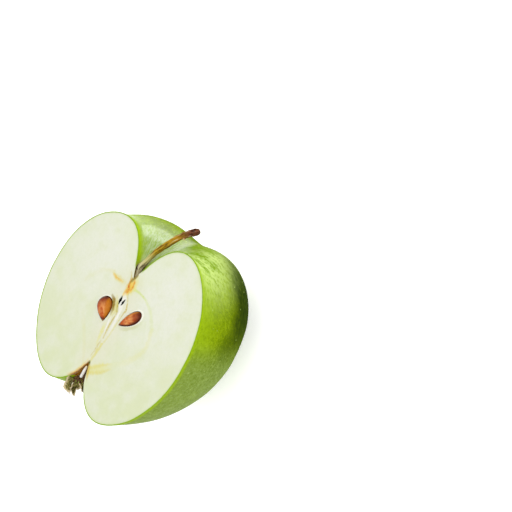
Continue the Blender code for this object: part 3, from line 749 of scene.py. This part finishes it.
def seed_material():
    """Glossy brown seed coat: peach in the middle, which is partly a painted highlight, golden on one
    flank, and darkened round its edge with painted shade.
    """
    graph = Graph("seed_shell")
    grain = graph.noise(1.0, 4.0, graph.stretched(graph.value("grain", "Vector"), (0.35, 0.35, 2.4)))
    blotch = graph.noise(1.6, 2.0)
    # warm base, whose peach middle is partly a painted highlight
    warm = graph.mix(graph.span(blotch, 0.35, 0.65), (196, 88, 26), (236, 156, 88))
    edge = graph.sum(graph.value("edge"), graph.times(graph.sum(grain, -0.5), 0.2))
    flank = graph.times(graph.span(graph.value("flank"), 0.3, 0.6), graph.span(edge, 1.1, 0.85))
    colour = graph.layers(
        warm,
        (graph.span(grain, 0.45, 0.7, 0.0, 0.5), (164, 70, 6)),
        (graph.span(graph.value("along"), 0.5, 0.1, 0.0, 0.9), (136, 50, 6)),
        # painted shade round the seed's edge
        (graph.span(edge, 0.64, 0.94), (84, 24, 0)),
        (graph.times(flank, 0.85), (200, 118, 0)),
        (graph.span(graph.value("along"), 0.93, 1.0, 0.0, 0.8), (240, 190, 120)),
    )
    return graph.finish(
        Base_Color=colour,
        Roughness=graph.sum(graph.times(grain, 0.15), 0.18),
        Specular_IOR_Level=0.12,
        Normal=graph.bump(grain, 0.03),
    )


def style_material():
    """The pale rod, shiny and almost white with faint cream ends."""
    graph = Graph("style")
    grain = graph.noise(0.5, 3.0)
    ends = graph.span(graph.value("along"), 0.35, 0.0)
    colour = graph.mix(graph.span(grain, 0.3, 0.7), (232, 226, 214), (246, 244, 240))
    colour = graph.mix(ends, colour, (222, 196, 132))
    return graph.finish(Base_Color=colour, Roughness=0.3, Normal=graph.bump(grain, 0.04))


def stamen_material():
    """Dried brown stalks with lighter streaks."""
    graph = Graph("stamens")
    grain = graph.noise(0.4, 4.0)
    colour = graph.ramp(grain, (0.3, (48, 26, 10)), (0.5, (92, 60, 28)), (0.72, (160, 132, 88)))
    normal = graph.bump(grain, 0.06)
    return graph.finish(Base_Color=colour, Roughness=0.7, Specular_IOR_Level=0.1, Normal=normal)


def sepal_material():
    """Dried leaf: olive and dark in the middle, cream at its curled edge."""
    graph = Graph("sepals")
    grain = graph.noise(0.45, 4.0, roughness=0.65)
    inner = graph.ramp(grain, (0.34, (52, 44, 14)), (0.48, (112, 106, 44)), (0.62, (172, 162, 96)))
    edge = graph.sum(graph.value("edge"), graph.times(graph.sum(grain, -0.5), 0.5))
    colour = graph.mix(graph.span(edge, 0.62, 0.92), inner, (222, 204, 162))
    normal = graph.bump(grain, 0.08)
    return graph.finish(Base_Color=colour, Roughness=0.65, Specular_IOR_Level=0.1, Normal=normal)


def blend(angle, sizes):
    """A size on the way from the front lobe, angle 0, over the back to the rear lobe, pi."""
    front, back, rear = sizes
    side = np.where(np.cos(angle) > 0, front, rear)
    return side * np.cos(angle) ** 2 + back * np.sin(angle) ** 2


def end_reach(angle, radius, sizes):
    """How far an end reaches along the core, before its hollow is taken off."""
    middle = (sizes[0] + sizes[2]) / 2
    apart = 1 - hump(radius, SHOULDER_START)
    return middle + (blend(angle, sizes) - middle) * apart


def swell(angle, swells):
    """Height of the low swellings at an angle round the core."""
    return sum(height * hump(angle - place, SWELL_BREADTH) for place, height in swells)


def stem_hollow(radius):
    """Depth of the hollow round the stem, rounded at its very bottom."""
    rounded = np.hypot(radius, WELL_ROUNDING) - WELL_ROUNDING
    return WELL_DEPTH * np.exp(-rounded / WELL_BREADTH)


def calyx_hollow(radius):
    """Depth of the basin, with the calyx tube and its worn lip in the middle."""
    tube = TUBE_DEPTH * hump(radius, TUBE_BREADTH)
    lip = LIP_DEPTH * hump(radius, LIP_BREADTH)
    return BASIN_DEPTH * np.exp(-((radius / BASIN_BREADTH) ** BASIN_POWER)) + tube + lip


def skin_places(latitude, angle):
    """Places on the skin: latitude 0 is the stem's root and pi is the calyx."""
    stem_end = np.cos(latitude) >= 0
    power = 2 / np.where(stem_end, STEM_FULLNESS, CALYX_FULLNESS)
    share = np.abs(np.sin(latitude)) ** power
    radius = share * blend(angle, (FRONT_RADIUS, BACK_DEPTH, REAR_RADIUS))
    rise = np.abs(np.cos(latitude)) ** power
    crown = hump(share - CROWN_PLACE, CROWN_BREADTH)
    stem_crown = STEM_CROWN * np.cos(CROWN_LOBES * angle + STEM_CROWN_TURN) + swell(angle, STEM_SWELLS)
    calyx_crown = CALYX_CROWN * np.cos(CROWN_LOBES * angle + CALYX_CROWN_TURN)
    calyx_crown = calyx_crown + swell(angle, CALYX_SWELLS)
    to_stem = end_reach(angle, radius, STEM_SHOULDERS) * rise + stem_crown * crown
    to_calyx = end_reach(angle, radius, CALYX_SHOULDERS) * rise + calyx_crown * crown
    to_stem, to_calyx = to_stem - stem_hollow(radius), to_calyx - calyx_hollow(radius)
    shift = BACK_SHIFT * (np.sin(angle) * share) ** 2
    along = np.where(stem_end, to_stem, -to_calyx) + shift
    wide = radius + swell(angle, WAIST_SWELLS) * share**4
    aside = np.where(stem_end, 0, TUBE_ASIDE) * hump(radius, TUBE_REACH)
    return np.stack([along, aside - wide * np.cos(angle), -wide * np.sin(angle)], axis=-1)


def even_latitudes():
    """Latitudes that lie evenly along the skin's outline."""
    fine = np.linspace(0, math.pi, 6001)
    length = length_along(skin_places(fine, 0 * fine))
    return np.interp(np.linspace(0, length[-1], LATITUDES + 1), length, fine)


def fold_points():
    """Places along the folds of the skin."""
    return np.vstack([skin_places(*smooth_line(knots, STROKE_STEPS).T) for knots in CREASES])


def uneven(places):
    """The skin with its slight unevenness and its folds, which move it out from the core only."""
    radius = np.hypot(places[..., 1], places[..., 2])
    lift = sum(height * rough(places, size) for size, height in UNEVENNESS)
    lift = lift * np.minimum(radius / UNEVEN_START, 1)
    away, _ = nearest(places.reshape(-1, 3), fold_points())
    lift = lift - CREASE_DEPTH * hump(away.reshape(radius.shape), CREASE_HALF)
    factor = 1 + lift / np.maximum(radius, 1)
    places = places * np.stack([np.ones_like(factor), factor, factor], -1)
    places[..., 2] = np.maximum(places[..., 2], -CUT_HEIGHT)
    return places


def skin_grid():
    """Rows of places from the stem's root to the calyx, and the grain's coordinates there."""
    latitudes = even_latitudes()
    angles = np.linspace(0, math.pi, ANGLES + 1)
    places = uneven(skin_places(latitudes[:, None], angles[None, :]))
    along = np.linspace(0, GRAIN_LENGTH, LATITUDES + 1)[:, None] + 0 * angles
    radius = GRAIN_EVEN * GRAIN_RADIUS + (1 - GRAIN_EVEN) * np.hypot(places[..., 1], places[..., 2])
    grain = np.stack([radius * np.cos(angles), radius * np.sin(angles), along], -1)
    return places, grain


def drop_reach(places, middle, point, size):
    """0 in the middle of a drop-shaped outline, 1 on it and more outside."""
    point = np.array(point[:2]) / np.linalg.norm(point[:2])
    across = np.array([-point[1], point[0]])
    away = places - np.array(middle[:2])
    lengthwise = away @ point / (size[0] / 2)
    slim = ((1 - np.clip(lengthwise, -1, 0.98)) / 2) ** (SEED_POINT / 2)
    return np.hypot(lengthwise, away @ across / (size[1] / 2) / slim)


def face_relief(places):
    """The cut face over places in its plane, and how far inside a pocket or a slit they are."""
    pocket, bulge = np.full(len(places), OFF), np.zeros(places.shape)
    for name, (room, aside) in POCKETS.items():
        middle, point, size = SEEDS[name]
        middle = np.array(middle[:2]) + aside
        size = np.array(size) + room
        reach = (1 - drop_reach(places, middle, point, size)) * size[1] / 2 * POCKET_EDGE
        bulge += (places - middle) * (POCKET_BULGE * fade(reach, 0, POCKET_WALL))[:, None]
        pocket = np.maximum(pocket, reach)
    slit = np.full(len(places), OFF)
    for knots in SLITS:
        depth, values = stroke(places, knots)
        slit = np.maximum(slit, depth * np.maximum(values[:, 2], 0.1))
    height = -POCKET_DEPTH * fade(pocket, 0, POCKET_WALL) - SLIT_DEPTH * fade(slit, 0, SLIT_WALL)
    solid = np.column_stack([places, 0 * places[:, 0]])
    size, rise = FACE_GRAIN
    height += rise * rough(solid, size) * (pocket < 0)
    return np.column_stack([places + bulge, height]), pocket, slit


def face_marks(places):
    """The marks' colour at places in the cut plane, how much they cover, and the pale bands."""
    solid = np.column_stack([places, 0 * places[:, 0]])
    waver, breaks = rough(solid, MARK_WAVER_SIZE), rough(solid, BREAK_SIZE)
    colour, cover = np.zeros((len(places), 3)), np.zeros(len(places))
    bands = np.zeros(len(places))
    for tint, broken, *knots in MARKS:
        depth, values = stroke(places, knots)
        share = fade(depth + MARK_WAVER * waver, 0.0, MARK_SOFT) * np.clip(values[:, 3], 0, 1)
        share = share * (1 - broken * fade(breaks, *BREAK_RANGE))
        colour = colour * (1 - share[:, None]) + np.array(shade(*tint)[:3]) * share[:, None]
        cover = 1 - (1 - cover) * (1 - share)
        if tint == CHALK:
            bands = np.maximum(bands, share)
    return colour, cover, bands


def face_grid(outline):
    """Rings of places in the cut plane, from the outline inwards to the middle, which comes last."""
    middle = FACE_MIDDLE
    shares = np.interp(np.arange(1, RINGS), [0, INNER_RINGS, RINGS], [0, INNER_SHARE, 1])[::-1]
    rings = middle + (outline[:, :2] - middle) * shares[:, None, None]
    return np.vstack([rings.reshape(-1, 2), middle[None]])


def fruit_faces(outline, face_start):
    """Faces of the skin's rows, then of the cut face's rings, whose first ring is the outline."""
    faces = [[near, far, far + 1, near + 1] for near, far in grid_cells(LATITUDES + 1, ROW)]
    skin_count = len(faces)
    count = len(outline)
    starts = [face_start + ring * count for ring in range(RINGS)]
    rings = [outline] + [list(range(start, start + count)) for start in starts[:-1]]
    for outer, inner in zip(rings, rings[1:]):
        for i in range(count):
            after = (i + 1) % count
            faces.append([outer[i], inner[i], inner[after], outer[after]])
    faces += [[rings[-1][i], starts[-1], rings[-1][(i + 1) % count]] for i in range(count)]
    return faces, skin_count


def weld_poles(count, faces):
    """The mesh with each end of the core as one place, where a whole row of places met."""
    merged = np.arange(count)
    for start in (0, LATITUDES * ROW):
        merged[start : start + ROW] = start
    kept = np.unique(merged)
    index = np.searchsorted(kept, merged)
    return kept, [list(dict.fromkeys(int(index[corner]) for corner in face)) for face in faces]


def skin_floats(skin, grain):
    """Values for the skin's material: distances in millimetres and shares from 0 to 1."""
    x, y, z = skin.T
    from_stem = np.linalg.norm(skin - np.array([WELL_FLOOR, 0, 0]), axis=1)
    from_tube = np.hypot(y - TUBE_ASIDE, z) + FAR_AWAY * (x > CALYX_HALF)
    fold_distance, _ = nearest(skin, fold_points())
    # painted shade: darker towards the underside and the stem end, most on the front lobe
    painted_shade = fade(PAINTED_SHADE_WAVE * rough(skin, PAINTED_SHADE_WAVE_SIZE) - z, *PAINTED_SHADE_DOWN) * fade(x, *PAINTED_SHADE_ALONG)
    painted_shade = painted_shade * (PAINTED_SHADE_ELSEWHERE + (1 - PAINTED_SHADE_ELSEWHERE) * fade(-y, *PAINTED_SHADE_FRONT))
    to_front = SHOULDER_WAVE * rough(skin, SHOULDER_WAVE_SIZE) - y
    wax = WAX_FRONT_SHINE + WAX_BACK_SHINE * fade(y, *WAX_BACK)
    wax = wax * (1 - WAX_STEM_LOSS * fade(x, *WAX_ALONG))
    into_hollow = -from_stem - FRONT_SHORTER * fade(-y, *FRONT_START)
    hollow_shine = fade(into_hollow, *SHINE_FROM_STEM) * fade(-z, *SHINE_DOWN)
    return {
        "grain": grain,
        "rim": -z,
        "stem_distance": from_stem,
        "calyx_distance": from_tube,
        "painted_shade": painted_shade,
        # painted reflection, low on the calyx half of the flank
        "painted_reflection": fade(-x, *REFLECTION_ALONG) * fade(np.hypot(y, z), *REFLECTION_OUT) * fade(-z, *REFLECTION_DOWN),
        "shoulder": fade(-from_stem, *SHOULDER_FROM_STEM) * fade(to_front, *SHOULDER_FRONT),
        "shine": wax * fade(from_tube, *WAX_FROM_TUBE) + hollow_shine,
        "wall": fade(into_hollow, *WALL_FROM_STEM) * fade(-z, *WALL_DOWN),
        # painted shade along the folds
        "fold_shade": hump(fold_distance, FOLD_SHADE_REACH),
    }


def face_floats(flat, outline):
    """Values for the flesh's material at places in the cut plane."""
    rim, _ = nearest(flat, outline)
    core, _ = nearest(flat, smooth_line(CORE_ENDS, CORE_STEPS))
    x, y = flat.T
    in_tube = fade(-x, *TUBE_ALONG) * fade(-np.abs(y - TUBE_ASIDE), *TUBE_SIDE)
    at_foot = fade(-np.abs(x - WELL_FLOOR), *FOOT_ALONG) * fade(-np.abs(y), *FOOT_SIDE)
    return {
        "rim": rim,
        "core_distance": core,
        "skin_side": 1 - np.maximum(in_tube, at_foot),
        "far_from_core": fade(np.abs(y + 1.0), *HALO_SIDE),
        "low": fade(-x, *LOW_ALONG),
    }


def joined_floats(skin_values, face_values, ring):
    """The values of both surfaces in one list each. The outline takes those of the flesh beside it."""
    skin_count, face_count = len(skin_values["rim"]), len(face_values["rim"])
    floats = {}
    for name in {**skin_values, **face_values}:
        shape = skin_values.get(name, face_values.get(name)).shape[1:]
        on_skin = skin_values.get(name, np.zeros((skin_count, *shape)))
        on_face = face_values.get(name, np.zeros((face_count, *shape)))
        if name not in skin_values:
            on_skin[ring] = on_face[: len(ring)]
        floats[name] = np.concatenate([on_skin, on_face])
    return floats


def make_fruit():
    """The fruit as one closed mesh: skin below, and the cut face with its pockets on top."""
    skin, grain = skin_grid()
    skin, grain = skin.reshape(-1, 3), grain.reshape(-1, 3)
    front = [row * ROW for row in range(LATITUDES + 1)]
    ring = front + [row * ROW + ANGLES for row in range(LATITUDES - 1, 0, -1)]
    edge = skin[ring]
    between = np.linspace(0, 1, OUTLINE_STEPS)[:, None, None]
    outline = (edge + (np.roll(edge, -1, axis=0) - edge) * between).reshape(-1, 3)[:, :2]
    flat = face_grid(edge)
    face, pocket, slit = face_relief(flat)
    marks, cover, bands = face_marks(flat)
    face[:, 2] += BAND_HEIGHT * bands * (pocket < 0) * (slit < 0)
    face_values = face_floats(flat, outline)
    face_values.update({"pocket": pocket, "slit": slit, "mark_colour": marks, "mark": cover})
    floats = joined_floats(skin_floats(skin, grain), face_values, ring)
    faces, skin_count = fruit_faces(ring, len(skin))
    kept, faces = weld_poles(len(skin) + len(face), faces)
    floats = {name: values[kept] for name, values in floats.items()}
    places = np.vstack([skin, face])[kept]
    materials = skin_material(), flesh_material()
    fruit = add_mesh("fruit", places, faces, materials, floats, ("apple_half",))
    kinds = np.ones(len(faces), np.int32)
    kinds[:skin_count] = 0
    fruit.data.polygons.foreach_set("material_index", kinds)


def bark_places(length, turn):
    """Places on a plain round stem, which its noise and its grain follow."""
    return np.stack([BARK_RADIUS * np.cos(turn), BARK_RADIUS * np.sin(turn), length], -1)


def scar_height(length, turn):
    """The small bud scar on the stem's node, from 0 to 1."""
    away = (turn - SCAR_TURN + math.pi) % (2 * math.pi) - math.pi
    return np.exp(-(((length - NODE_PLACE) / NODE_BREADTH) ** 2) - (away / SCAR_SPREAD) ** 2)


def stem_shape(length, turn, reach):
    """The stem's ridges, its knobbly foot and tip, its node and the small bud scar on it."""
    place = bark_places(length, turn)
    ridges = 0.06 * np.sin(5 * turn + 0.3 * length) + 0.05 * np.sin(3 * turn - 0.2 * length)
    lumps = 0.12 * rough(place, 1.6) + 0.06 * rough(place * (2, 2, 0.6), 0.6)
    foot = hump(length - FOOT_KNOB, FOOT_KNOB_BREADTH)
    foot = foot * (0.2 * np.sin(turn) - 0.15 * np.cos(turn) + 0.3 * rough(place, 0.9))
    node = 0.14 * hump(length - NODE_PLACE, NODE_BREADTH)
    tip = 0.3 * fade(length, TIP_START - 1, TIP_STOP) * rough(place, 0.9)
    return reach * (1 + ridges + lumps + foot + node + tip) + SCAR_HEIGHT * scar_height(length, turn)


def make_stem():
    """The bent stem, with the values that its material reads."""
    line, radii = tube_line(STEM_KNOTS, STEM_RADII, STEM_STEPS)
    length, turn = np.meshgrid(length_along(line), round_turns(STEM_SIDES), indexing="ij")
    places = tube_places(line, radii, STEM_SIDES, lambda reach: stem_shape(length, turn, reach))
    length = np.concatenate([[0], length.ravel(), [length.max()]])
    turn = np.concatenate([[0], turn.ravel(), [0]])
    foot = np.exp(-(((length - FOOT_KNOB) / FOOT_KNOB_BREADTH) ** 4)) * fade(-np.cos(turn), -0.4, 0.2)
    floats = {
        "along": length / STEM_LENGTH,
        "grain": bark_places(length, turn),
        "knob": scar_height(length, turn),
        "dark": fade(length, TIP_START, TIP_STOP),
        "foot": foot,
        # painted shade on one side of the stem
        "under": fade(np.cos(turn + SHADE_TURN), 0.4, 1.0),
    }
    faces = tube_faces(len(line), STEM_SIDES)
    return add_mesh("stem_fine", places, faces, (stem_material(),), floats, ("stem",))


def make_seed(name, middle, point, size, material):
    """A drop that lies flat, its point the way it faces."""
    lean = np.linspace(0, math.pi, SEED_RINGS + 2)[:, None]
    turn = -round_turns(SEED_SIDES)[None]
    height = -np.cos(lean) + 0 * turn
    slim = ((1 - height) / 2) ** (SEED_POINT / 2)
    around = np.sin(lean) * slim
    length, width, thickness = (side / 2 for side in size)
    drop = np.stack([height * length, np.cos(turn) * around * width, np.sin(turn) * around * thickness], -1)
    drop = drop * (1 + 0.02 * rough(drop, 2.0))[..., None]
    lie = Vector(point).to_track_quat("X", "Z").to_matrix()
    places = np.array(middle) + drop @ np.array(lie).T
    rings = places[1:-1].reshape(-1, 3)
    places = np.vstack([places[:1, 0], rings, places[-1:, 0]])

    def listed(grid):
        return np.concatenate([grid[:1, 0], grid[1:-1].ravel(), grid[-1:, 0]])

    reach = np.hypot(height, np.cos(turn) * np.sin(lean))
    grain = np.column_stack([listed(drop[..., i]) for i in (1, 2, 0)])
    flank = listed(np.cos(turn) * np.sin(lean)) * np.sign(middle[1])
    floats = {"along": listed((height + 1) / 2), "edge": listed(reach), "grain": grain, "flank": flank}
    faces = tube_faces(SEED_RINGS, SEED_SIDES)
    return add_mesh(name + "_fine", places, faces, (material,), floats, (name,))


def make_style():
    """The pale rod in the calyx tube."""
    line, radii = tube_line(STYLE_KNOTS, STYLE_RADII, STYLE_STEPS)
    along, turn = np.meshgrid(np.linspace(0, 1, len(line)), round_turns(STYLE_SIDES), indexing="ij")
    lumps = rough(np.stack([np.cos(turn), np.sin(turn), 3 * along], -1), 0.7)
    places = tube_places(line, radii, STYLE_SIDES, lambda reach: reach * (1 + 0.12 * lumps))
    floats = {"along": np.concatenate([[0], along.ravel(), [1]])}
    faces = tube_faces(len(line), STYLE_SIDES)
    return add_mesh("style_fine", places, faces, (style_material(),), floats, ("style",))


def make_stamens():
    """Dried stalks that fan out of the tube, each ending in a small knob."""
    places, faces = [], []
    middle = np.array(TUFT_MIDDLE)
    for number in range(TUFT_COUNT):
        angle = math.pi * (number + 0.5) / TUFT_COUNT
        aside = np.array([0, -math.cos(angle), -math.sin(angle) * TUFT_FLATNESS])
        reach = TUFT_LENGTH * (0.8 + 0.2 * math.cos(3.3 * number))
        foot = middle + aside * 0.6 + np.array([1.2, 0, 0])
        bend = 0.35 * math.sin(5.1 * number)
        knots = [
            foot,
            foot + np.array([-reach * 0.4, 0, 0.1]) + aside * TUFT_SPREAD * 0.35,
            foot + np.array([-reach * 0.8, bend, 0.1]) + aside * TUFT_SPREAD * 0.8,
            foot + np.array([-reach - 1.2, bend, -0.2]) + aside * TUFT_SPREAD,
        ]
        line, radii = tube_line(knots, STALK_RADII, STALK_STEPS, STALK_SHARES, STALK_CAP_STEPS)
        faces += tube_faces(len(line), STALK_SIDES, sum(map(len, places)))
        places.append(tube_places(line, radii, STALK_SIDES))
    return add_mesh(
        "stamens_fine", np.vstack(places), faces, (stamen_material(),), {}, ("stamens",)
    )


def sepal_grid(root, elbow, tip, across, width):
    """Rows of places of a leaf that is broad at its root, curled at its edges and pointed."""
    root, elbow, tip, across = map(np.array, (root, elbow, tip, across))
    share = np.linspace(0, 0.985, SEPAL_STEPS)[:, None]
    line = root * (1 - share) ** 3 + 3 * elbow * share * (1 - share) + tip * share**3
    along = np.gradient(line, axis=0)
    along /= np.linalg.norm(along, axis=1)[:, None]
    sideways = across - along * (along @ across)[:, None]
    sideways /= np.linalg.norm(sideways, axis=1)[:, None]
    outwards = np.cross(along, sideways)
    aside = np.linspace(-1, 1, SEPAL_COLUMNS)
    half = width / 2 * (1 - share) ** LEAF_POINT * (1 + 0.12 * np.cos(11 * share))
    curl = SEPAL_CUP * (aside**2 + 0.35 * np.sin(9 * share + 2 * aside) + 0.8 * aside**6)
    places = line[:, None] + sideways[:, None] * (aside * half)[..., None]
    places = places + outwards[:, None] * curl[..., None]
    return places + 0.15 * rough(places, 0.9)[..., None] * outwards[:, None]


def make_sepal(name, places, material):
    """One dried leaf, given a thickness on both sides of its grid."""
    grid = sepal_grid(*places)
    rows, columns = grid.shape[:2]
    faces = [(near, near + 1, far + 1, far) for near, far in grid_cells(rows, columns)]
    aside = np.abs(np.linspace(-1, 1, columns)) + np.zeros((rows, 1))
    share = np.linspace(0, 1, rows)[:, None] + np.zeros(columns)
    edge = np.maximum(aside, share**3)
    leaf = add_mesh(
        name + "_fine", grid.reshape(-1, 3), faces, (material,), {"edge": edge.ravel()}, (name,)
    )
    body = leaf.modifiers.new("thickness", "SOLIDIFY")
    body.thickness = SEPAL_THICKNESS * MM
    body.offset = 0
    return leaf


def make_camera():
    """The photograph's camera: it looks down on the cut face, turned well over on its side."""
    data = bpy.data.cameras.new("camera")
    data.lens, data.sensor_width = LENS, SENSOR
    data.clip_start, data.clip_end = 0.01, 20
    camera = add_object("camera", data)
    turn = Matrix.Rotation(AZIMUTH, 4, "Z") @ Matrix.Rotation(math.pi / 2 - ELEVATION, 4, "X")
    turn = turn @ Matrix.Rotation(ROLL, 4, "Z")
    camera.matrix_world = Matrix.Translation(Vector(to_row(EYE))) @ turn
    bpy.context.scene.camera = camera


def add_light(name, place, size, watts):
    """A square soft light that faces the object."""
    data = bpy.data.lights.new(name, "AREA")
    data.size, data.energy = size, watts
    light = add_object(name, data)
    light.location = place
    light.rotation_mode = "QUATERNION"
    light.rotation_quaternion = Vector(place).to_track_quat("Z", "Y")


def make_studio():
    """A pale floor that is softly lit from below, an even pale surround and soft lights."""
    mesh = bpy.data.meshes.new("floor")
    corners = [(x * FLOOR_REACH, y * FLOOR_REACH, 0) for x, y in ((-1, -1), (1, -1), (1, 1), (-1, 1))]
    mesh.from_pydata(corners, [], [(0, 1, 2, 3)])
    floor = add_object("floor", mesh)
    graph = Graph("floor")
    glow = {"Emission_Color": (1, 1, 1, 1), "Emission_Strength": FLOOR_GLOW}
    mesh.materials.append(graph.finish(Base_Color=(*FLOOR_SHADE, 1), Roughness=0.8, **glow))
    world = bpy.data.worlds.new("surround")
    world.use_nodes = True
    surround = world.node_tree.nodes["Background"]
    surround.inputs["Color"].default_value = (1, 1, 1, 1)
    surround.inputs["Strength"].default_value = SURROUND
    bpy.context.scene.world = world
    for name, (place, size, watts) in LIGHTS.items():
        add_light(name, place, size, watts)
    bpy.context.scene.view_settings.view_transform = "Standard"


def main():
    make_fruit()
    make_stem()
    shell, leaf = seed_material(), sepal_material()
    for name, (middle, point, size) in SEEDS.items():
        make_seed(name, middle, point, size, shell)
    make_style()
    make_stamens()
    for name, places in SEPALS.items():
        make_sepal(name, places, leaf)
    make_camera()
    make_studio()


main()
